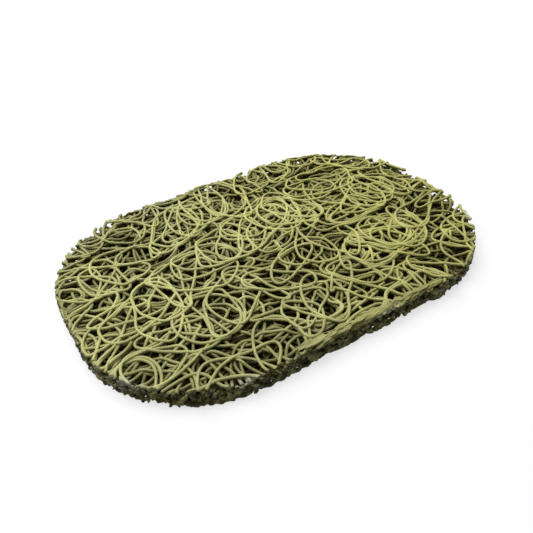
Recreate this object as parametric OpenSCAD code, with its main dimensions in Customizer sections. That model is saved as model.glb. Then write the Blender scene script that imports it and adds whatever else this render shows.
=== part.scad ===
// Soap saver: a springy mat of looped vinyl strands, laid in plies and die-cut to an outline.
// Origin at the middle of the underside, +X along the mat, +Z up, millimetres.

/* [Mat] */
// Length of the die-cut outline
mat_length = 120.6; // [105:0.1:140]
// Width of the die-cut outline
mat_width = 82.6; // [70:0.1:96]
// Corner radius of the die-cut outline
corner_radius = 33.8; // [12:0.1:35]

/* [Strand] */
// Width of a strand across its run
strand_w = 0.84; // [0.6:0.02:1.2]
// Height of a strand, which is the height of one ply
strand_h = 0.91; // [0.6:0.01:1.3]

/* [Loops] */
// Mean radius of the wide end of a loop
wide_radius = 8.5; // [7:0.1:10]
// Mean distance from one loop to the next along the strand's run
advance = 9; // [8:0.1:10]
// Most that the radius of a bend differs from the mean, each way
uneven_radius = 0.9; // [0:0.1:1.2]
// Most that the sides of a loop are stretched at either end
stretch = 1.2; // [0.2:0.1:2]
// Gap between a strand and the next one in its ply
side_clearance = 0.4; // [0.2:0.1:2]
// Seed of the uneven loops
seed = 11; // [1:1:99]

/* [Hidden] */
// The plies from the underside up, each with the direction that its strands run in
PLY_NAMES = ["underside", "lower", "lower_core", "core", "upper_core", "upper", "top"];
PLY_TURNS = [0, 98, 37, 141, 72, 164, 19];
vinyl = [0.60, 0.60, 0.40];
smooth = 72;
narrow_radius = wide_radius - advance / 2;
least_leg = 0.02;
row_pitch = wide_radius + narrow_radius + 2 * (uneven_radius + stretch) + strand_w + side_clearance;
half_diagonal = norm([mat_length, mat_width]) / 2;
straight = [mat_length / 2 - corner_radius, mat_width / 2 - corner_radius];
// Loops laid each way from the middle of a strand, which carry it past the die at their shortest
half_run = ceil(half_diagonal / (advance - 4 * uneven_radius)) + 2;

function strand_name(ply, s) = str(PLY_NAMES[ply], "_strand_", s);

// Strands that cover the mat in one ply, side by side
function strand_count(ply) =
  let (turn = PLY_TURNS[ply])
  ceil(2 * (straight.x * abs(sin(turn)) + straight.y * abs(cos(turn)) + corner_radius) / row_pitch);

// Middle of a strand, measured across its ply
function strand_middle(ply, s) = (s - (strand_count(ply) + 1) / 2) * row_pitch;

// Whether a point, t along a ply's direction and v across it, lies on the mat
function on_mat(t, v, turn) =
  let (
    x = t * cos(turn) - v * sin(turn),
    y = t * sin(turn) + v * cos(turn),
    corner = [max(abs(x) - straight.x, 0), max(abs(y) - straight.y, 0)]
  )
  norm(corner) < corner_radius;

// Stations along a ply's direction at which a strand's row lies on the mat
function stations(v, turn) =
  [for (t = [-half_diagonal : half_diagonal], side = [-0.5, 0, 0.5])
    if (on_mat(t, v + side * row_pitch, turn)) t];

// Values for the loops from one end of a run to the other. They are drawn from the middle outwards, so
// a longer run keeps the loops of a shorter one, and kept to a hundredth so that the bends meet.
function uneven(least, most, stream) =
  let (
    onward = rands(least, most, half_run + 1, stream),
    backward = rands(least, most, half_run + 1, stream + 1)
  )
  [for (k = [-half_run : half_run]) round(100 * (k < 0 ? backward[-k] : onward[k])) / 100];

// Where each loop of a strand starts, worked out from the radii of the loops before it
function starts(wide, narrow, k = 0, x = 0) =
  k == len(wide) ? [] : concat([x], starts(wide, narrow, k + 1, x + 2 * (wide[k] - narrow[k])));

// Half a turn of the strand, bulging to +Y, or to -Y if side is -1
module bend(radius, side) intersection() {
  difference() {
    circle(radius + strand_w / 2, $fn = smooth);
    circle(radius - strand_w / 2, $fn = smooth);
  }
  scale([1, side]) translate([-2 * radius, 0]) square([4 * radius, 2 * radius]);
}

// Straight side of a loop, from one height to another
module leg(low, high) translate([-strand_w / 2, low]) square([strand_w, high - low]);

// The strand's run as it falls: round a wide bend, up, back round a narrow bend and down into the next
module run(from, to, stream) {
  wide = uneven(wide_radius - uneven_radius, wide_radius + uneven_radius, stream);
  narrow = uneven(narrow_radius - uneven_radius, narrow_radius + uneven_radius, stream + 2);
  low = -uneven(least_leg, stretch, stream + 4);
  high = uneven(least_leg, stretch, stream + 6);
  lag = uneven(0, advance, stream + 8)[half_run];
  x = starts(wide, narrow);
  for (k = [0 : len(x) - 2]) {
    left = x[k] - x[half_run] + lag;
    right = left + 2 * wide[k];
    next = right - 2 * narrow[k];
    if (right > from && left < to) {
      translate([left + wide[k], low[k]]) bend(wide[k], -1);
      translate([right, 0]) leg(low[k], high[k]);
      translate([right - narrow[k], high[k]]) bend(narrow[k], 1);
      translate([next, 0]) leg(low[k + 1], high[k]);
    }
  }
}

// The die's outline: a rectangle with round corners
module outline() {
  for (x = [-1, 1], y = [-1, 1])
    translate([x * straight.x, y * straight.y]) circle(corner_radius, $fn = 2 * smooth);
  square([mat_length, 2 * straight.y], center = true);
  square([2 * straight.x, mat_width], center = true);
}

// One strand of a ply, welded to itself where it loops over its own run, and cut by the die
module strand(ply, s) {
  turn = PLY_TURNS[ply];
  stream = 10000 * seed + 1000 * ply + 20 * s;
  middle = strand_middle(ply, s);
  at = stations(middle, turn);
  flip = rands(-1, 1, 1, stream + 10)[0] < 0 ? -1 : 1;
  shift = round(50 * (wide_radius - narrow_radius)) / 100;
  color(vinyl) translate([0, 0, ply * strand_h]) linear_extrude(strand_h) intersection() {
    rotate(turn) translate([0, middle]) scale([1, flip]) translate([0, shift])
      run(min(at), max(at), stream);
    outline();
  }
}

for (ply = [0 : len(PLY_NAMES) - 1], s = [1 : strand_count(ply)])
  strand(ply, s);
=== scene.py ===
"""The looks of a soap saver: a springy mat of looped vinyl strands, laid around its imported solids."""

import math
import typing

import bmesh
import bpy
import numpy as np
from mathutils import Matrix, Vector


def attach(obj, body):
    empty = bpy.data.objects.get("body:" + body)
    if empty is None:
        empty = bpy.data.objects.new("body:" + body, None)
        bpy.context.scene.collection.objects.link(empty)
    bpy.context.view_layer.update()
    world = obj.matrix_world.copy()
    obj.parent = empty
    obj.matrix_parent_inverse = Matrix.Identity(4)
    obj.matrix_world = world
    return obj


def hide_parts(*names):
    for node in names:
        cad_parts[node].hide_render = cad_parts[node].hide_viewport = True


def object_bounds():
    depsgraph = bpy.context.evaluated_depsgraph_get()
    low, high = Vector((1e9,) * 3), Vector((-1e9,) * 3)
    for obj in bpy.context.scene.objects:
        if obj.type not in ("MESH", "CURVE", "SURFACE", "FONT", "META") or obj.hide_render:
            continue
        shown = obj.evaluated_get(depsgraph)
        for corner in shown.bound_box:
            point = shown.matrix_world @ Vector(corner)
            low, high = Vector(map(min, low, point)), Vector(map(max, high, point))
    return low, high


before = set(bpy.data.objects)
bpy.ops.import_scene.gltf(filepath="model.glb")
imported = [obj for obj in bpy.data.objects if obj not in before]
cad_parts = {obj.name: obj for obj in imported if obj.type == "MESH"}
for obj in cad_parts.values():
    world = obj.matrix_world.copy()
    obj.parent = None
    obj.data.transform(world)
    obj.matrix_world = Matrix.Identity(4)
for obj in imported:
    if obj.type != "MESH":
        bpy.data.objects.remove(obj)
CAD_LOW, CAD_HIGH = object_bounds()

bl_info = {
    "name": "Looped Strand Mat",
    "version": (1, 0, 0),
    "blender": (4, 5, 0),
    "location": "View3D > Sidebar > Strand Mat",
    "description": "Lays, cuts and finishes the looped vinyl strands of a soap saver",
    "category": "Object",
}

TAU = 2 * math.pi
# These keep the random draws of the strands' meshes and of the films apart from those of the loops
STRAND_DRAWS = 99
FILM_DRAWS = 98
# The plies from the underside up, each with the direction that its strands run in, in degrees
PLIES = {
    "underside": 0,
    "lower": 98,
    "lower_core": 37,
    "core": 141,
    "upper_core": 72,
    "upper": 164,
    "top": 19,
}
# Places on the rim where the die stretched the vinyl pale
PALE_SPOTS = (
    (-0.0325, -0.0405),
    (-0.0545, -0.0265),
    (0.0085, -0.0413),
    (0.0560, -0.0240),
    (-0.0150, 0.0413),
)


class Lip(typing.NamedTuple):
    """A lip that the die smeared along a stretch of the rim."""

    # Where it starts and ends along the rim, measured from the middle of the front towards +X
    start: float
    end: float
    # How far its top lies under the mat's
    below: float
    # How far it reaches down the cut and over the top
    drop: float
    lap: float
    # How far it lies inside the outline, and the share of it that is torn away
    inset: float
    torn: float
    # How far the strands behind it are pressed down, and how far they lie back under its foot
    press: float = 0.0
    recess: float = 0.0


# Each lip's start, end, below, drop, lap, inset, torn, press and recess
LIPS = {
    "front": Lip(-0.018, 0.028, 0.00020, 0.0024, 0.0034, 0.00040, 0.28, 0.0011, 0.0013),
    "front_foot": Lip(-0.028, 0.036, 0.00400, 0.0024, 0.0003, 0.00055, 0.50),
    "front_low": Lip(-0.056, -0.026, 0.00330, 0.0026, 0.0002, 0.00060, 0.55),
    "corner_foot": Lip(0.030, 0.060, 0.00390, 0.0024, 0.0003, 0.00060, 0.55),
    "left": Lip(-0.110, -0.078, 0.00040, 0.0050, 0.0009, 0.00042, 0.35, 0.0003),
    "left_front": Lip(-0.082, -0.054, 0.00200, 0.0038, 0.0004, 0.00060, 0.55),
    "back": Lip(0.112, 0.150, 0.00040, 0.0034, 0.0014, 0.00042, 0.40, 0.0006),
    "back_left": Lip(-0.173, -0.143, 0.00040, 0.0036, 0.0012, 0.00042, 0.45, 0.0005),
}


class MatOutline(bpy.types.PropertyGroup):
    """The outline that the die cuts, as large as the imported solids."""

    length: bpy.props.FloatProperty(
        name="Length",
        description="Length of the die-cut outline",
        default=CAD_HIGH.x - CAD_LOW.x,
        unit="LENGTH",
    )
    width: bpy.props.FloatProperty(
        name="Width",
        description="Width of the die-cut outline",
        default=CAD_HIGH.y - CAD_LOW.y,
        unit="LENGTH",
    )
    thickness: bpy.props.FloatProperty(
        name="Thickness", description="Height of the whole web", default=CAD_HIGH.z, unit="LENGTH"
    )
    corner: bpy.props.FloatProperty(
        name="Corner radius",
        description="Corner radius of the outline",
        default=0.0338,
        unit="LENGTH",
    )
    ragged: bpy.props.FloatProperty(
        name="Raggedness",
        description="Most that a cut end lies back from the die",
        default=0.0014,
        unit="LENGTH",
    )
    give: bpy.props.FloatProperty(
        name="Smear",
        description="How far a cut end bulges past the cut",
        default=0.00012,
        unit="LENGTH",
    )
    press: bpy.props.FloatProperty(
        name="Press",
        description="How far the die drags the top down at the cut",
        default=0.0002,
        unit="LENGTH",
    )


class MatStrands(bpy.types.PropertyGroup):
    """How thick the strands are and how they coil as they fall."""

    diameter: bpy.props.FloatProperty(
        name="Diameter", description="Mean diameter of a strand", default=0.0008, unit="LENGTH"
    )
    row_pitch: bpy.props.FloatProperty(
        name="Row pitch",
        description="From one strand's row to the next in its ply",
        default=0.01794,
        unit="LENGTH",
    )
    loop_length: bpy.props.FloatProperty(
        name="Loop length", description="Mean length of a loop", default=0.0205, unit="LENGTH"
    )
    loop_width: bpy.props.FloatProperty(
        name="Loop width", description="Mean width of a loop", default=0.0112, unit="LENGTH"
    )
    advance: bpy.props.FloatProperty(
        name="Advance",
        description="Mean distance from one loop to the next",
        default=0.0045,
        unit="LENGTH",
    )
    sag: bpy.props.FloatProperty(
        name="Sag",
        description="Bend of a strand where it hangs between its supports, in 1/m",
        default=170,
    )
    spacing: bpy.props.FloatProperty(
        name="Spacing",
        description="From one ring of a strand's mesh to the next",
        default=0.0006,
        unit="LENGTH",
    )
    seed: bpy.props.IntProperty(name="Seed", description="Seed of the tangle", default=7)


class MatColours(bpy.types.PropertyGroup):
    """Colours of the vinyl, and the shares of them that a painted shade keeps in the web's core and
    half-way down the cut.
    """

    vinyl: bpy.props.FloatVectorProperty(
        name="Vinyl",
        description="Olive green of the strands",
        default=(0.545, 0.538, 0.222),
        subtype="COLOR",
    )
    warm: bpy.props.FloatVectorProperty(
        name="Warm end",
        description="Yellower green towards +X",
        default=(0.55, 0.537, 0.17),
        subtype="COLOR",
    )
    pale: bpy.props.FloatVectorProperty(
        name="Pale",
        description="Stressed and cut vinyl",
        default=(0.62, 0.61, 0.46),
        subtype="COLOR",
    )
    # Painted shade on the smeared lips: half-way down the cut their colour is multiplied by this share,
    # where shade falls
    rim: bpy.props.FloatVectorProperty(
        name="Rim",
        description="Share of its colour that it keeps half-way down the cut",
        default=(0.30, 0.285, 0.13),
        subtype="COLOR",
    )
    # Painted shade on the strands: in the core of the web their colour is multiplied by this share, where
    # shade falls
    core: bpy.props.FloatVectorProperty(
        name="Core Shade",
        description="Share of its colour that it keeps in the core",
        default=(0.075, 0.068, 0.018),
        subtype="COLOR",
    )


class MatStudio(bpy.types.PropertyGroup):
    """Camera and light."""

    azimuth: bpy.props.FloatProperty(
        name="Azimuth",
        description="Way round the mat",
        default=math.radians(-29.776),
        subtype="ANGLE",
    )
    elevation: bpy.props.FloatProperty(
        name="Elevation",
        description="Height of the view",
        default=math.radians(38.491),
        subtype="ANGLE",
    )
    roll: bpy.props.FloatProperty(
        name="Roll",
        description="Tilt of the picture",
        default=math.radians(-3.425),
        subtype="ANGLE",
    )
    distance: bpy.props.FloatProperty(
        name="Distance", description="From the mat to the camera", default=0.168418, unit="LENGTH"
    )
    aside: bpy.props.FloatProperty(
        name="Aside",
        description="How far the mat lies right of the view's axis",
        default=0.001523,
        unit="LENGTH",
    )
    above: bpy.props.FloatProperty(
        name="Above",
        description="How far the mat lies over the view's axis",
        default=0.002802,
        unit="LENGTH",
    )
    lens: bpy.props.FloatProperty(name="Lens", description="Focal length in mm", default=38.26)
    sky: bpy.props.FloatProperty(name="Sky", description="Light from straight above", default=0.4)
    # The camera also sees this grey on the floor under the mat, as a painted shade in the web's gaps
    bounce: bpy.props.FloatProperty(
        name="Bounce",
        description="Share of light that the floor throws back",
        default=0.08,
    )
    key: bpy.props.FloatProperty(
        name="Key",
        description="Light of the softbox on a level surface",
        default=0.99,
    )


class MatSettings(bpy.types.PropertyGroup):
    """All that a user would change."""

    outline: bpy.props.PointerProperty(type=MatOutline)
    strands: bpy.props.PointerProperty(type=MatStrands)
    colours: bpy.props.PointerProperty(type=MatColours)
    studio: bpy.props.PointerProperty(type=MatStudio)


def wander(rng, count, wavelength):
    """Smooth random values from -1 to 1, one a sample, with a new one every wavelength samples."""
    knots = rng.uniform(-1, 1, int(count / wavelength) + 3)
    at = np.arange(count) / wavelength + rng.uniform()
    before = at.astype(int)
    share = at - before
    share = share * share * (3 - 2 * share)
    return knots[before] * (1 - share) + knots[before + 1] * share


def smoothed(values, passes):
    """Values or points along a line, each drawn towards its neighbours. The ends stay."""
    for _ in range(passes):
        between = (values[:-2] + 2 * values[1:-1] + values[2:]) / 4
        values = np.concatenate((values[:1], between, values[-1:]))
    return values


def evenly(points, spacing):
    """A path's points, set a fixed spacing apart along it."""
    steps = np.linalg.norm(np.diff(points, axis=0), axis=1)
    along = np.concatenate(([0], np.cumsum(steps)))
    at = np.arange(0, along[-1], spacing)
    return np.stack([np.interp(at, along, points[:, axis]) for axis in range(points.shape[1])], axis=1)


def half_straights(outline):
    """Half the lengths of the outline's straight stretches, along X and along Y."""
    return outline.length / 2 - outline.corner, outline.width / 2 - outline.corner


def beyond_outline(xy, outline):
    """How far points lie outside the outline, negative inside, and the way straight out of it."""
    past = np.abs(xy) - np.array(half_straights(outline))
    out = np.maximum(past, 0)
    reach = np.linalg.norm(out, axis=1)
    distance = reach + np.minimum(past.max(axis=1), 0) - outline.corner
    return distance, np.sign(xy) * out / np.maximum(reach, 1e-9)[:, None]


def fallen_loops(rng, reach, strands):
    """Plan of one strand along its row, from -reach to reach, in loops that are all unlike."""
    turn_step = 0.06
    turn = np.arange(0, TAU * 2 * reach / strands.advance, turn_step)

    def uneven(amount, loops):
        """Smooth random values up to the amount either way, with a new one every so many loops."""
        return amount * wander(rng, len(turn), loops * (TAU / turn_step))

    hand = rng.choice((-1, 1))
    long_half = strands.loop_length / 2 * (1 + uneven(0.3, loops=0.8))
    short_half = strands.loop_width / 2 * (1 + uneven(0.42, loops=0.7))
    lean = rng.uniform(0, TAU) + uneven(1.5, loops=1.4)
    along = np.cumsum(np.exp(uneven(1.1, loops=0.8)))
    along = reach * (2 * along / along[-1] - 1)
    across = uneven(0.14 * strands.row_pitch, loops=1.7)
    # A wave of half the length pinches each loop out of its oval
    pinch = 0.22 * long_half * (1 + uneven(1, loops=1.1))
    tilt = rng.uniform(0, TAU) + uneven(2, loops=2)
    u = long_half * np.cos(turn) + pinch * np.cos(2 * turn + tilt)
    v = hand * (short_half * np.sin(turn) + 0.6 * pinch * np.sin(2 * turn + tilt))
    x = along + u * np.cos(lean) - v * np.sin(lean)
    y = across + u * np.sin(lean) + v * np.cos(lean)
    return smoothed(evenly(np.stack((x, y), axis=1), strands.spacing), passes=6)


class Pile:
    """The strands laid so far, as the height that a further strand's middle clears at each cell."""

    cell = 0.0002
    # How far the cells go on past the outline, and how many at the edge hold no strand's middle
    margin = 0.003
    edge_cells = 8
    # From the middle of a strand to that of one that rests on it, as a share of the diameter
    rest_share = 0.76
    # Cells along the side of a block that slopes are taken over, and how often blocks are evened out
    block = 5
    evenings = 6

    def __init__(self, outline, strands):
        half_size = np.array([outline.length, outline.width]) / 2
        self.middle = ((half_size + self.margin) / self.cell).astype(int)
        self.clear = np.full(2 * self.middle + 1, strands.diameter / 2)
        reach = self.rest_share * strands.diameter
        cells = int(reach / self.cell)
        dx, dy = np.mgrid[-cells : cells + 1, -cells : cells + 1]
        under = reach**2 - (dx**2 + dy**2) * self.cell**2
        self.dx = dx[under > 0]
        self.dy = dy[under > 0]
        self.rise = np.sqrt(under[under > 0])

    def cells(self, xy):
        """The cells that points lie in."""
        at = np.rint(xy / self.cell).astype(int) + self.middle
        return np.clip(at, self.edge_cells, 2 * self.middle - self.edge_cells).T

    def height(self, xy):
        """Lowest height of a strand's middle at points."""
        return self.clear[tuple(self.cells(xy))]

    def slopes(self, xy):
        """How steeply the pile rises at points, taken over a few millimetres."""
        block = self.block
        wide, painted_shade = np.array(self.clear.shape) // block
        blocks = self.clear[: wide * block, : painted_shade * block].reshape(wide, block, painted_shade, block)
        coarse = blocks.mean(axis=(1, 3))
        for _ in range(self.evenings):
            edged = np.pad(coarse, 1, mode="edge")
            beside = edged[:-2, 1:-1] + edged[2:, 1:-1] + edged[1:-1, :-2] + edged[1:-1, 2:]
            coarse = (beside + 4 * coarse) / 8
        rise = np.gradient(coarse, block * self.cell)
        x, y = self.cells(xy) // block
        at = (np.minimum(x, wide - 1), np.minimum(y, painted_shade - 1))
        return np.stack((rise[0][at], rise[1][at]), axis=1)

    def lay(self, xy, z):
        """Adds a strand's points to the pile."""
        x, y = self.cells(xy)
        under = (x[:, None] + self.dx, y[:, None] + self.dy)
        np.maximum.at(self.clear, under, z[:, None] + self.rise)


def hung(at, floor, sag):
    """The lowest line over a floor that bends upwards by no more than the sag allows."""
    bent = floor - sag * at**2
    held = []
    for i in range(len(at)):
        while len(held) > 1:
            a, b = held[-2:]
            if (bent[b] - bent[a]) * (at[i] - at[a]) > (bent[i] - bent[a]) * (at[b] - at[a]):
                break
            held.pop()
        held.append(i)
    return np.interp(at, at[held], bent[held]) + sag * at**2


def draped(pile, xy, lowest, strands):
    """Heights of a run as it falls on the pile, a stretch at a time so that it lies on itself too."""
    stretch = round(0.012 / strands.spacing)
    ahead = round(0.010 / strands.spacing)
    behind = round(0.0025 / strands.spacing)
    z = np.zeros(len(xy))
    laid = 0
    for start in range(0, len(xy), stretch):
        done = max(start - behind, laid)
        pile.lay(xy[laid:done], z[laid:done])
        laid = done
        first = max(start - 1, 0)
        floor = np.maximum(pile.height(xy[first : start + stretch + ahead]), lowest)
        if start:
            floor[0] = z[first]
        line = hung(np.arange(len(floor)) * strands.spacing, floor, strands.sag)
        end = min(start + stretch, len(xy))
        z[start:end] = line[start - first : end - first]
    pile.lay(xy[laid:], z[laid:])
    return smoothed(z, passes=3)


def runs_inside(rng, xy, outline):
    """The stretches of a path inside the outline, with ends torn inside it or left for the die."""
    # Ends are drawn from the deepest tear outwards, and the half that go too far stop past the die
    deepest_tear = 0.0006
    past_die = 0.0006
    highest_draw = 0.0018
    fewest_steps = 5
    distance, _ = beyond_outline(xy, outline)
    inside = np.concatenate(([False], distance < past_die, [False]))
    edges = np.flatnonzero(np.diff(inside.astype(int)))
    runs = []
    for a, b in zip(edges[::2], edges[1::2]):
        first, last = np.minimum(rng.uniform(-deepest_tear, highest_draw, 2), past_die)
        onward = np.flatnonzero(distance[a:b] < first)
        back = np.flatnonzero(distance[a:b] < last)
        if len(onward) and len(back) and back[-1] - onward[0] > fewest_steps:
            runs.append(xy[a + onward[0] : a + back[-1] + 1])
    return runs


def slid(pile, plan, strands):
    """A strand's plan after it has slid off the heaps of the pile under it."""
    slide = 0.008
    farthest = 0.0016
    for _ in range(3):
        shift = np.clip(-slide * pile.slopes(plan), -farthest, farthest)
        plan = plan + smoothed(shift, passes=90)
    return evenly(plan, strands.spacing)


def gathered(plan, outline, strands):
    """A strand's plan with what lies close to the die, on either side of it, squeezed inside it."""
    inside = 0.0044
    outside = 0.0023
    distance, way = beyond_outline(plan, outline)
    share = np.clip(distance + inside, 0, inside + outside) / (inside + outside)
    squeeze = (outside + strands.diameter / 2) * share**2
    return evenly(plan - way * squeeze[:, None], strands.spacing)


def packed_down(z, highest):
    """Heights pressed together under the highest that is allowed, in the same order as before."""
    soft = 0.0009
    over = np.maximum(z - highest + soft, 0)
    return z - over + soft * (1 - np.exp(-over / soft))


def laid_strands(outline, strands):
    """Every strand's runs from the underside up, as points with heights, by the name of its node."""
    pile = Pile(outline, strands)
    reach = math.hypot(outline.length, outline.width) / 2 + strands.loop_length
    # No strand falls lower than its ply's step, less what it may sink into the ply under it
    headroom = 1.7 * strands.diameter
    sink = 0.35 * strands.diameter
    step = (outline.thickness - headroom) / (len(PLIES) - 1)
    highest = outline.thickness - strands.diameter / 2
    laid = {}
    for ply, (ply_name, turn) in enumerate(PLIES.items()):
        names = [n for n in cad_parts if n.startswith(ply_name + "_strand_")]
        c, s = math.cos(math.radians(turn)), math.sin(math.radians(turn))
        lowest = strands.diameter / 2 + max(ply * step - sink, 0)
        for number in range(1, len(names) + 1):
            rng = np.random.default_rng((strands.seed, ply, number))
            plan = fallen_loops(rng, reach, strands)
            plan[:, 1] += (number - (len(names) + 1) / 2) * strands.row_pitch
            plan = slid(pile, plan @ np.array([[c, s], [-s, c]]), strands)
            plan = gathered(plan, outline, strands)
            laid[f"{ply_name}_strand_{number}"] = [
                np.column_stack((run, packed_down(draped(pile, run, lowest, strands), highest)))
                for run in runs_inside(rng, plan, outline)
            ]
    return laid


def raggedness(co):
    """Unevenness of the cut at points of the rim, from 0 to 1: broad waves with finer ones on them."""
    millimetre = 0.001
    x, y, z = (co / millimetre).T
    broad = (
        np.sin(2.5 * x + 1.7 * z)
        + np.sin(2.8 * y - 1.9 * z + 1)
        + np.sin(1.8 * x - 2.1 * y + 2.3 * z + 2)
    )
    fine = (
        np.sin(4.3 * x + 3.9 * z + 1)
        + np.sin(5.1 * y - 4.7 * z)
        + np.sin(3.7 * x - 4.1 * y + 6.1 * z)
    )
    return np.clip(0.25 + 0.26 * broad + 0.13 * fine, 0, 1)


def rim_place(xy, outline):
    """Where points lie along the outline, measured from the middle of the front towards +X."""
    half_x, half_y = half_straights(outline)
    quarter = outline.corner * math.pi / 2
    x, y = np.abs(xy[:, 0]), xy[:, 1]
    past_y = np.maximum(np.abs(y) - half_y, 1e-9)
    turn = outline.corner * np.arctan2(np.maximum(x - half_x, 0), past_y)
    level = np.minimum(x, half_x)
    fore = level + turn
    aft = 2 * (half_x + quarter + half_y) - level - turn
    beside = half_x + quarter + half_y + y
    place = np.where(np.abs(y) < half_y, beside, np.where(y < 0, fore, aft))
    return np.where(xy[:, 0] < 0, -place, place)


def under_lips(co, outline):
    """How far points are pressed down and let back by the lips that the die smeared over them."""
    ramp = 0.005
    foot_lift = 0.0002
    foot_reach = 0.0009
    place = rim_place(co[:, :2], outline)
    pressed, let_back = np.zeros(len(co)), np.zeros(len(co))
    for lip in LIPS.values():
        share = np.clip(np.minimum(place - lip.start, lip.end - place) / ramp, 0, 1)
        pressed = np.maximum(pressed, lip.press * share)
        foot = outline.thickness - lip.below - lip.drop
        by_foot = np.exp(-(((co[:, 2] - foot + foot_lift) / foot_reach) ** 2))
        let_back = np.maximum(let_back, lip.recess * share * by_foot)
    return pressed, let_back


def die_cut(co, outline):
    """Presses points back to the cut and down at the top, and says how close to the cut each lies."""
    cut_reach = 0.0014
    press_reach = 0.0023
    distance, way = beyond_outline(co[:, :2], outline)
    pressed, let_back = under_lips(co, outline)
    # The cut is cleanest at the top and most ragged at the underside
    uneven = outline.ragged * raggedness(co) * np.clip(1.1 - co[:, 2] / 0.009, 0.4, 1)
    wall = -outline.give - uneven - let_back
    past = np.maximum(distance - wall, 0)
    kept = outline.give * (1 - np.exp(-past / outline.give))
    co[:, :2] -= way * (past - kept)[:, None]
    inside = np.minimum(distance - wall, 0)
    near = np.exp(-((inside / cut_reach) ** 2))
    wide = np.exp(-((inside / press_reach) ** 2))
    height = np.clip(co[:, 2], 0, None) / outline.thickness
    co[:, 2] -= (outline.press * near + pressed * wide) * height**2
    return near


def run_radii(rng, run, outline, strands):
    """Radius at each point of a run: a little uneven, and flared where the die squashed its ends."""
    flare_reach = 0.0009
    distance, _ = beyond_outline(run[:, :2], outline)
    flare = rng.uniform(0.05, 0.75) * np.exp(-((np.minimum(distance, 0) / flare_reach) ** 2))
    quick = 0.07 * wander(rng, len(run), 9)
    slow = 0.05 * wander(rng, len(run), 60)
    return strands.diameter / 2 * (1 + quick + slow + flare)


def points_of(mesh):
    """A mesh's points as an array."""
    co = np.zeros(3 * len(mesh.vertices), np.float32)
    mesh.vertices.foreach_get("co", co)
    return co.reshape(-1, 3).astype(float)


def strand_mesh(name, runs, rng, outline, strands):
    """One strand's runs as closed tubes that the die has cut."""
    curve = bpy.data.curves.new(name, "CURVE")
    curve.dimensions = "3D"
    curve.bevel_depth = 1
    curve.bevel_resolution = 2
    curve.use_fill_caps = True
    for run in runs:
        spline = curve.splines.new("POLY")
        spline.points.add(len(run) - 1)
        spline.points.foreach_set("co", np.column_stack((run, np.ones(len(run)))).ravel())
        spline.points.foreach_set("radius", run_radii(rng, run, outline, strands))
    holder = bpy.data.objects.new(name, curve)
    mesh = bpy.data.meshes.new_from_object(holder)
    bpy.data.objects.remove(holder)
    bpy.data.curves.remove(curve)
    bm = bmesh.new()
    bm.from_mesh(mesh)
    bmesh.ops.remove_doubles(bm, verts=bm.verts, dist=1e-8)
    bm.to_mesh(mesh)
    bm.free()
    mesh.shade_smooth()
    co = points_of(mesh)
    cut = die_cut(co, outline)
    co[:, 2] = np.clip(co[:, 2], 0, outline.thickness)
    mesh.vertices.foreach_set("co", co.ravel())
    # The cut is pale at the pale spots, in the upper part of the mat, and hardly anywhere else
    upper = np.clip(3 * co[:, 2] / outline.thickness - 1.3, 0, 1)
    add_attribute(mesh, "cut", cut * (0.03 + 0.97 * paled(co) * upper))
    # Near the cut the painted core shade is lifted in blots
    add_attribute(mesh, "rim", cut)
    add_attribute(mesh, "tone", np.full(len(co), rng.uniform(-0.2, 1)))
    return mesh


def paled(co):
    """How near points are to a place where the vinyl is stretched pale, from 0 to 1."""
    spot_reach = 0.0032
    away = np.linalg.norm(co[:, None, :2] - np.array(PALE_SPOTS), axis=2).min(axis=1)
    return np.exp(-((away / spot_reach) ** 2))


def lumps(rng, u, v):
    """Smooth random values from -1 to 1 over a surface, with a new one every whole u and every whole v."""
    u, v = u - u.min(), v - v.min()
    knots = rng.uniform(-1, 1, (int(u.max()) + 2, int(v.max()) + 2))
    i, j = u.astype(int), v.astype(int)
    s, t = u - i, v - j
    s, t = s * s * (3 - 2 * s), t * t * (3 - 2 * t)
    before = knots[i, j] * (1 - s) + knots[i + 1, j] * s
    return before * (1 - t) + (knots[i, j + 1] * (1 - s) + knots[i + 1, j + 1] * s) * t


def add_attribute(mesh, name, values):
    """A number for each of a mesh's points, which materials read."""
    attribute = mesh.attributes.new(name, "FLOAT", "POINT")
    attribute.data.foreach_set("value", np.asarray(values, np.float32))


def rim(along, outline):
    """Points of the outline a way along it from the middle of the front, and the ways out of it."""
    half_x, half_y = half_straights(outline)
    quarter = outline.corner * math.pi / 2
    far = np.abs(along)
    fore = np.clip(far - half_x, 0, quarter)
    beside = np.clip(far - half_x - quarter, 0, 2 * half_y)
    aft = np.clip(far - half_x - quarter - 2 * half_y, 0, quarter)
    level = np.minimum(far, half_x) - np.maximum(far - half_x - 2 * quarter - 2 * half_y, 0)
    angle = (fore + aft) / outline.corner - math.pi / 2
    way = np.stack((np.cos(angle), np.sin(angle)), axis=1)
    point = np.stack((level, beside - half_y), axis=1) + outline.corner * way
    side = np.stack((np.where(along < 0, -1, 1), np.ones(len(along))), axis=1)
    return point * side, way * side


def drop_scraps(bm, least):
    """Takes away patches of fewer faces than the least, and points without faces."""
    bm.faces.index_update()
    seen = set()
    scraps = []
    for first in bm.faces:
        if first.index in seen:
            continue
        patch = [first]
        seen.add(first.index)
        for face in patch:
            for beside in (f for edge in face.edges for f in edge.link_faces):
                if beside.index not in seen:
                    seen.add(beside.index)
                    patch.append(beside)
        if len(patch) < least:
            scraps += patch
    bmesh.ops.delete(bm, geom=scraps, context="FACES")
    bmesh.ops.delete(bm, geom=[v for v in bm.verts if not v.link_faces], context="VERTS")


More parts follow.
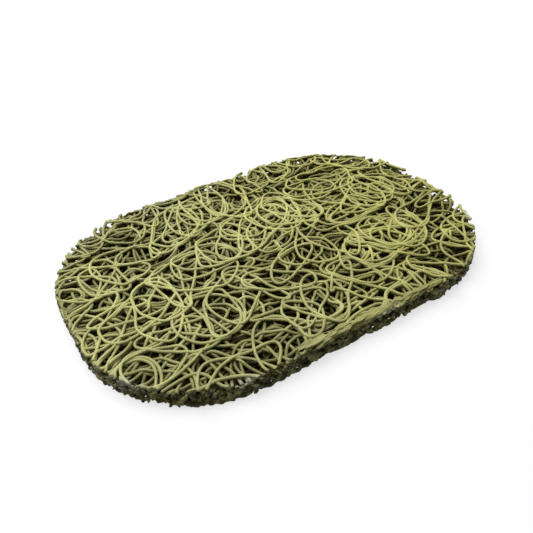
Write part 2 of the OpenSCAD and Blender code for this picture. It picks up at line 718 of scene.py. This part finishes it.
def rim_film_mesh(name, lip, rng, outline):
    """A smeared lip that the die leaves where it fuses the cut strands along a stretch of the rim."""
    ring = 0.00022
    # How wide the bend is between the top and the cut, and how much the lip over the top slopes
    fold = 0.0015
    slope = 0.4
    least_patch = 30
    high = outline.thickness - lip.below
    columns = round((lip.end - lip.start) / ring)
    rows = round((lip.drop + lip.lap + 0.001) / ring)
    bm = bmesh.new()
    bmesh.ops.create_grid(bm, x_segments=columns, y_segments=rows, size=0.5)
    flat = np.array([v.co for v in bm.verts])
    column = np.rint((flat[:, 0] + 0.5) * columns).astype(int)
    down = flat[:, 1] + 0.5
    along = column * ring
    # How far it reaches down and over the top at each column, less towards its two ends
    taper = np.clip(np.minimum(column, columns - column) / (0.1 * columns), 0, 1) ** 0.5
    low = 0.8 + 0.2 * wander(rng, columns + 1, 18) + 0.4 * wander(rng, columns + 1, 7)
    low = (lip.drop * low)[column] * taper
    low = np.minimum(low, high - 0.0004)
    over = 0.6 + 0.3 * wander(rng, columns + 1, 16) + 0.14 * wander(rng, columns + 1, 5)
    over = (lip.lap * over)[column] * taper
    # A way over the top and on down the cut, which bends round the fold between them
    a = down * (over + low) - over
    inset = (np.sqrt(a**2 + fold**2) - a) / 2
    fall = (np.sqrt(a**2 + fold**2) + a) / 2
    coarse = lumps(rng, (along + 0.6 * a) / 0.0021, a / 0.0009)
    fine = lumps(rng, (along + 1.1 * a) / 0.0010, a / 0.0004)
    broad = lumps(rng, along / 0.006, a / 0.004)
    streak = lumps(rng, (along + 2 * a) / 0.0050, a / 0.00042)
    point, way = rim(lip.start + along, outline)
    inward = lip.inset + 0.00030 * broad - 0.00050 * coarse - 0.00016 * fine - 0.00012 * streak
    inward = np.maximum(inward, 0.00003)
    xy = point - way * (inset + inward)[:, None]
    z = high - fall - slope * np.maximum(inset - fold / 2, 0)
    z = z + 0.00014 * coarse + 0.00008 * fine + 0.00014 * streak
    z = np.clip(z, 0.0003, outline.thickness - 0.00002)
    for vert, (x, y), height in zip(bm.verts, xy, z):
        vert.co = (x, y, height)
    torn = lumps(rng, (along + 0.4 * a) / 0.0017, a / 0.0010) > 1 - lip.torn
    bm.verts.ensure_lookup_table()
    bmesh.ops.delete(bm, geom=[bm.verts[i] for i in np.flatnonzero(torn)], context="VERTS")
    drop_scraps(bm, least_patch)
    edge = [v for v in bm.verts if v.is_boundary]
    axes = {"use_axis_x": True, "use_axis_y": True, "use_axis_z": True}
    for _ in range(3):
        bmesh.ops.smooth_vert(bm, verts=edge, factor=0.5, **axes)
    bmesh.ops.recalc_face_normals(bm, faces=bm.faces)
    inner = Vector((0, 0, -0.01))
    if sum(face.normal.dot(face.calc_center_median() - inner) for face in bm.faces) < 0:
        bmesh.ops.reverse_faces(bm, faces=bm.faces)
    mesh = bpy.data.meshes.new(name)
    bm.to_mesh(mesh)
    bm.free()
    mesh.shade_smooth()
    return mesh


def streak_film(mesh, rng):
    """Gives a film its streaks of paler and of darker vinyl, which lie along it."""
    co = points_of(mesh)
    streaks = lumps(rng, (co[:, 0] + co[:, 1]) / 0.0016, co[:, 2] / 0.0003)
    tones = lumps(rng, (co[:, 0] - co[:, 1]) / 0.003, co[:, 2] / 0.0006)
    add_attribute(mesh, "tone", 0.6 * tones - 0.5)
    add_attribute(mesh, "cut", np.clip(0.4 + 0.6 * streaks, 0, 1) * (0.3 + 0.7 * paled(co)))
    # The blots that lift the painted core shade may lie anywhere on a film
    add_attribute(mesh, "rim", np.ones(len(co)))


def linked(name, mesh):
    """A new object for a mesh, in the scene."""
    obj = bpy.data.objects.new(name, mesh)
    bpy.context.scene.collection.objects.link(obj)
    return obj


def new_group(name, ins, outs):
    """A new node group with its inputs and outputs, each with a name, a kind and a default."""
    tree = bpy.data.node_groups.new(name, "ShaderNodeTree")
    for direction, sockets in (("INPUT", ins), ("OUTPUT", outs)):
        for socket_name, kind, default in sockets:
            socket = tree.interface.new_socket(name=socket_name, in_out=direction, socket_type=kind)
            if default is not None:
                socket.default_value = default
    return tree


def add_node(tree, kind, links=(), **settings):
    """A new node with its settings, and its inputs linked or set by name or number."""
    node = tree.nodes.new(kind)
    for key, value in settings.items():
        setattr(node, key, value)
    for key, value in dict(links).items():
        if isinstance(value, bpy.types.NodeSocket):
            tree.links.new(value, node.inputs[key])
        else:
            node.inputs[key].default_value = value
    return node


def noise(tree, place, scale, detail, roughness=0.5):
    """Noise over a place, from 0 to 1."""
    links = {"Vector": place, "Scale": scale, "Detail": detail, "Roughness": roughness}
    return add_node(tree, "ShaderNodeTexNoise", links).outputs[0]


def mapped(tree, value, low, high, to_low, to_high):
    """A value carried over from one range to another, and kept within it."""
    links = {0: value, 1: low, 2: high, 3: to_low, 4: to_high}
    return add_node(tree, "ShaderNodeMapRange", links).outputs[0]


def worked_out(tree, operation, a, b):
    """The result of an operation on two numbers."""
    return add_node(tree, "ShaderNodeMath", {0: a, 1: b}, operation=operation).outputs[0]


def mixed(tree, share, first, second):
    """A colour that goes from the first to the second with the share."""
    links = {0: share, 6: first, 7: second}
    return add_node(tree, "ShaderNodeMix", links, data_type="RGBA").outputs[2]


def grain_group():
    """The fine grain of extruded vinyl: a height for bump and a roughness."""
    tree = bpy.data.node_groups.get("Vinyl Grain")
    if tree:
        return tree
    ins = (
        ("Vector", "NodeSocketVector", None),
        ("Fineness", "NodeSocketFloat", 5000),
        ("Gloss", "NodeSocketFloat", 0.4),
    )
    outs = (("Height", "NodeSocketFloat", None), ("Roughness", "NodeSocketFloat", None))
    tree = new_group("Vinyl Grain", ins, outs)
    given = add_node(tree, "NodeGroupInput").outputs
    fine = noise(tree, given["Vector"], given["Fineness"], detail=3, roughness=0.6)
    patches = noise(tree, given["Vector"], scale=350, detail=3)
    spread = mapped(tree, patches, 0.3, 0.7, -0.12, 0.16)
    rough = worked_out(tree, "ADD", spread, given["Gloss"])
    put = add_node(tree, "NodeGroupOutput")
    tree.links.new(fine, put.inputs["Height"])
    tree.links.new(rough, put.inputs["Roughness"])
    return tree


def tint_and_shade_group():
    """The vinyl's colour as it drifts over the mat, from strand to strand and at stretched places, with a
    painted shade that darkens the core of the web.
    """
    tree = bpy.data.node_groups.get("Vinyl Tint And Shade")
    if tree:
        return tree
    colour = "NodeSocketColor"
    number = "NodeSocketFloat"
    ins = (
        ("Vector", "NodeSocketVector", None),
        ("Vinyl", colour, None),
        ("Warm", colour, None),
        ("Pale", colour, None),
        ("Tone", number, 0),
        ("Stress", number, 0),
        ("Thickness", number, 0.006),
        ("Core Shade", colour, None),
        ("Rim", number, 0),
    )
    tree = new_group("Vinyl Tint And Shade", ins, (("Color", colour, None),))
    given = add_node(tree, "NodeGroupInput").outputs
    place = add_node(tree, "ShaderNodeSeparateXYZ", {0: given["Vector"]}).outputs
    # The green turns warmer towards +X
    drift = mapped(tree, noise(tree, given["Vector"], scale=45, detail=2), 0, 1, -0.03, 0.03)
    warmth = mapped(tree, worked_out(tree, "ADD", place["X"], drift), -0.02, 0.06, 0, 1)
    base = mixed(tree, warmth, given["Vinyl"], given["Warm"])
    # Specks, and the tone that each strand has of its own
    specks = noise(tree, given["Vector"], scale=260, detail=4)
    light = mapped(tree, specks, 0.25, 0.75, 0.86, 1.14)
    own = mapped(tree, given["Tone"], -1, 1, 0.66, 1.14)
    level = worked_out(tree, "MULTIPLY", light, own)
    # Painted shade: darker in the core of the web, where shade falls, but less so near the top and the
    # underside and in blots along the rim
    height = worked_out(tree, "DIVIDE", place["Z"], given["Thickness"])
    above = mapped(tree, height, 0.61, 0.95, 0, 1)
    below = mapped(tree, height, 0, 0.11, 0.5, 0)
    outer = worked_out(tree, "MAXIMUM", above, below)
    blots = mapped(tree, noise(tree, given["Vector"], scale=620, detail=2), 0.45, 0.60, 0, 0.72)
    unshaded = worked_out(tree, "MAXIMUM", outer, worked_out(tree, "MULTIPLY", blots, given["Rim"]))
    # Painted shade: away from the top, the underside and the blots, the colour keeps only the core's share
    # of itself
    painted_shade = mixed(tree, unshaded, given["Core Shade"], (1, 1, 1, 1))
    lit = add_node(tree, "ShaderNodeVectorMath", {0: base, "Scale": level}, operation="SCALE")
    shaded = add_node(tree, "ShaderNodeVectorMath", {0: lit.outputs[0], 1: painted_shade}, operation="MULTIPLY")
    pale = mixed(tree, given["Stress"], shaded.outputs[0], given["Pale"])
    put = add_node(tree, "NodeGroupOutput")
    tree.links.new(pale, put.inputs["Color"])
    return tree


def vinyl_material(name, colours, core, fineness, gloss, bump, stress, shine):
    """Satin vinyl, with its drift of colour, its grain, its paler cut places and a painted shade that
    darkens its core.
    """
    material = bpy.data.materials.new(name)
    material.use_nodes = True
    tree = material.node_tree
    shader = tree.nodes["Principled BSDF"]
    shader.inputs["Specular IOR Level"].default_value = shine
    place = add_node(tree, "ShaderNodeTexCoord").outputs["Object"]
    tone = add_node(tree, "ShaderNodeAttribute", attribute_name="tone").outputs["Fac"]
    cut = add_node(tree, "ShaderNodeAttribute", attribute_name="cut").outputs["Fac"]
    rim_share = add_node(tree, "ShaderNodeAttribute", attribute_name="rim").outputs["Fac"]
    stressed = worked_out(tree, "MULTIPLY", cut, stress)
    tint_and_shade = add_node(tree, "ShaderNodeGroup", node_tree=tint_and_shade_group())
    grain = add_node(tree, "ShaderNodeGroup", node_tree=grain_group())
    # The core's share is painted shade, not a tint of the vinyl
    tints = {"Vinyl": colours.vinyl, "Warm": colours.warm, "Pale": colours.pale, "Core Shade": core}
    for key, value in tints.items():
        tint_and_shade.inputs[key].default_value = (*value, 1)
    tint_and_shade.inputs["Thickness"].default_value = CAD_HIGH.z
    grain.inputs["Fineness"].default_value = fineness
    grain.inputs["Gloss"].default_value = gloss
    height = {"Height": grain.outputs["Height"], "Distance": bump, "Strength": 0.6}
    raised = add_node(tree, "ShaderNodeBump", height)
    for source, target in (
        (place, tint_and_shade.inputs["Vector"]),
        (place, grain.inputs["Vector"]),
        (tone, tint_and_shade.inputs["Tone"]),
        (stressed, tint_and_shade.inputs["Stress"]),
        (rim_share, tint_and_shade.inputs["Rim"]),
        (tint_and_shade.outputs["Color"], shader.inputs["Base Color"]),
        (grain.outputs["Roughness"], shader.inputs["Roughness"]),
        (raised.outputs["Normal"], shader.inputs["Normal"]),
    ):
        tree.links.new(source, target)
    return material


class MAT_OT_strands(bpy.types.Operator):
    """Lays every strand on the pile, from the underside up, and cuts it to the outline"""

    bl_idname = "strandmat.strands"
    bl_label = "Lay strands"

    def execute(self, context):
        settings = context.scene.strand_mat
        material = vinyl_material(
            "Strand vinyl",
            settings.colours,
            core=settings.colours.core,
            fineness=5200,
            gloss=0.36,
            bump=0.00002,
            stress=0.8,
            shine=0.13,
        )
        laid = laid_strands(settings.outline, settings.strands)
        for number, (node, runs) in enumerate(laid.items()):
            if not runs:
                raise RuntimeError(f"strand {node} has no run inside the outline")
            rng = np.random.default_rng((settings.strands.seed, STRAND_DRAWS, number))
            mesh = strand_mesh(node + "_web", runs, rng, settings.outline, settings.strands)
            mesh.materials.append(material)
            piece = linked(node + "_web", mesh)
            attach(piece, "root")
            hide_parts(node)
        return {"FINISHED"}


class MAT_OT_rim_film(bpy.types.Operator):
    """Adds the smeared lips that the die leaves along the rim"""

    bl_idname = "strandmat.rim_film"
    bl_label = "Add rim films"

    def execute(self, context):
        settings = context.scene.strand_mat
        material = vinyl_material(
            "Smeared vinyl",
            settings.colours,
            # The lips take the rim share as painted shade, darkest half-way down the cut
            core=settings.colours.rim,
            fineness=2500,
            gloss=0.45,
            bump=0.00006,
            stress=0.2,
            shine=0.06,
        )
        for number, (side, lip) in enumerate(LIPS.items()):
            rng = np.random.default_rng((settings.strands.seed, FILM_DRAWS, number))
            name = f"rim_film_{side}"
            mesh = rim_film_mesh(name, lip, rng, settings.outline)
            mesh.materials.append(material)
            streak_film(mesh, rng)
            piece = linked(name, mesh)
            wall = piece.modifiers.new("Wall", "SOLIDIFY")
            wall.thickness = 0.00026
            wall.offset = -1
            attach(piece, "root")
        return {"FINISHED"}


class MAT_OT_stage(bpy.types.Operator):
    """Sets up the floor, the light and the camera"""

    bl_idname = "strandmat.stage"
    bl_label = "Set stage"

    def execute(self, context):
        studio = context.scene.strand_mat.studio
        add_floor(studio, context.scene.strand_mat.outline)
        add_light(studio)
        add_camera(studio)
        return {"FINISHED"}


def shown_white(tree):
    """A mask that is 1 where the background is looked at, straight or in gloss or glass."""
    rays = add_node(tree, "ShaderNodeLightPath").outputs
    gloss = worked_out(tree, "MAXIMUM", rays["Is Camera Ray"], rays["Is Glossy Ray"])
    return worked_out(tree, "MAXIMUM", gloss, rays["Is Transmission Ray"])


def beside_mat(tree, outline):
    """The mask of shown_white, but 0 on the floor that the mat covers, which the camera then sees in the
    dark bounce grey: a painted shade under the mat.
    """
    under_rim = 0.002
    # A whole metre keeps the height out of it
    core = (*half_straights(outline), 1)
    kind = "ShaderNodeVectorMath"
    place = add_node(tree, "ShaderNodeTexCoord").outputs["Object"]
    half = add_node(tree, kind, {0: place}, operation="ABSOLUTE").outputs[0]
    past = add_node(tree, kind, {0: half, 1: core}, operation="SUBTRACT").outputs[0]
    out = add_node(tree, kind, {0: past, 1: (0, 0, 0)}, operation="MAXIMUM").outputs[0]
    reach = add_node(tree, kind, {0: out}, operation="LENGTH").outputs["Value"]
    beside = worked_out(tree, "GREATER_THAN", reach, outline.corner - under_rim)
    return worked_out(tree, "MULTIPLY", beside, shown_white(tree))


def add_floor(studio, outline):
    """A wide floor that keeps the mat's shadow, soft and light, and turns to plain white away from it;
    under the mat it shows the camera a dark grey, a painted shade in the web's gaps.
    """
    # Where the floor starts and ends to turn white, and its colour and glow up to where it starts
    near = 0.08
    far = 0.4
    lit_near = 0.32
    glow_near = 0.68
    material = bpy.data.materials.new("Floor")
    material.use_nodes = True
    tree = material.node_tree
    shader = tree.nodes["Principled BSDF"]
    shader.inputs["Roughness"].default_value = 0.9
    shader.inputs["Specular IOR Level"].default_value = 0.1
    mask = beside_mat(tree, outline)
    place = add_node(tree, "ShaderNodeTexCoord").outputs["Object"]
    away = add_node(tree, "ShaderNodeVectorMath", {0: place}, operation="LENGTH").outputs["Value"]
    lit = mapped(tree, away, near, far, lit_near, 0)
    glowing = mapped(tree, away, near, far, glow_near, 1)
    # Painted shade: under the mat the camera sees the bounce grey instead of the lit white
    shown = mixed(tree, mask, (studio.bounce,) * 3 + (1,), lit)
    shader.inputs["Emission Color"].default_value = (1, 1, 1, 1)
    tree.links.new(shown, shader.inputs["Base Color"])
    tree.links.new(worked_out(tree, "MULTIPLY", mask, glowing), shader.inputs["Emission Strength"])
    bm = bmesh.new()
    bmesh.ops.create_grid(bm, x_segments=1, y_segments=1, size=3)
    mesh = bpy.data.meshes.new("floor")
    bm.to_mesh(mesh)
    bm.free()
    mesh.materials.append(material)
    linked("floor", mesh)


def add_light(studio):
    """A bright surround, and one large softbox high up, a little behind the mat and to its left."""
    world = bpy.data.worlds.new("Studio")
    bpy.context.scene.world = world
    world.use_nodes = True
    tree = world.node_tree
    back = tree.nodes["Background"]
    way = add_node(tree, "ShaderNodeTexCoord").outputs["Generated"]
    rise = add_node(tree, "ShaderNodeSeparateXYZ", {0: way}).outputs["Z"]
    dome = mapped(tree, rise, 0, 1, 0, studio.sky)
    strength = add_node(tree, "ShaderNodeMix", {0: shown_white(tree), 2: dome, 3: 1})
    back.inputs["Color"].default_value = (1, 1, 1, 1)
    tree.links.new(strength.outputs[0], back.inputs["Strength"])
    away = Vector((-0.16, 0.42, 1)).normalized()
    distance = 0.7
    lamp = bpy.data.lights.new("Softbox", "AREA")
    lamp.size = 0.6
    lamp.energy = studio.key * (math.pi * distance) ** 2 / away.z
    box = bpy.data.objects.new("Softbox", lamp)
    box.location = away * distance
    box.rotation_euler = away.to_track_quat("Z", "Y").to_euler()
    bpy.context.scene.collection.objects.link(box)


def add_camera(studio):
    """The camera where the photograph was taken from."""
    a, e = studio.azimuth, studio.elevation
    back = Vector((math.sin(a) * math.cos(e), -math.cos(a) * math.cos(e), math.sin(e)))
    right = Vector((math.cos(a), math.sin(a), 0))
    up = back.cross(right)
    across = math.cos(studio.roll) * right + math.sin(studio.roll) * up
    upright = math.cos(studio.roll) * up - math.sin(studio.roll) * right
    data = bpy.data.cameras.new("Camera")
    data.lens = studio.lens
    data.clip_start = 0.01
    camera = bpy.data.objects.new("Camera", data)
    place = studio.distance * back - studio.aside * across - studio.above * upright
    turned = Matrix((across, upright, back)).transposed().to_4x4()
    camera.matrix_world = Matrix.Translation(place) @ turned
    bpy.context.scene.collection.objects.link(camera)
    bpy.context.scene.camera = camera
    bpy.context.scene.view_settings.view_transform = "Standard"


class MAT_PT_panel(bpy.types.Panel):
    """Lists the mat's sizes and the operators that build it"""

    bl_idname = "MAT_PT_panel"
    bl_label = "Strand Mat"
    bl_space_type = "VIEW_3D"
    bl_region_type = "UI"
    bl_category = "Strand Mat"

    def draw(self, context):
        settings = context.scene.strand_mat
        for group in (settings.outline, settings.strands, settings.colours, settings.studio):
            box = self.layout.box()
            for key in group.__annotations__:
                box.prop(group, key)
        for operator in OPERATORS:
            self.layout.operator(operator.bl_idname)


OPERATORS = (MAT_OT_strands, MAT_OT_rim_film, MAT_OT_stage)
CLASSES = (MatOutline, MatStrands, MatColours, MatStudio, MatSettings, *OPERATORS, MAT_PT_panel)


def register():
    """Registers the classes and hangs the settings on the scene."""
    for cls in CLASSES:
        bpy.utils.register_class(cls)
    bpy.types.Scene.strand_mat = bpy.props.PointerProperty(type=MatSettings)


def unregister():
    """Takes away what register added."""
    del bpy.types.Scene.strand_mat
    for cls in reversed(CLASSES):
        bpy.utils.unregister_class(cls)


def main():
    """Builds the mat and its stage."""
    register()
    bpy.ops.strandmat.strands()
    bpy.ops.strandmat.rim_film()
    bpy.ops.strandmat.stage()


if __name__ == "__main__":
    main()
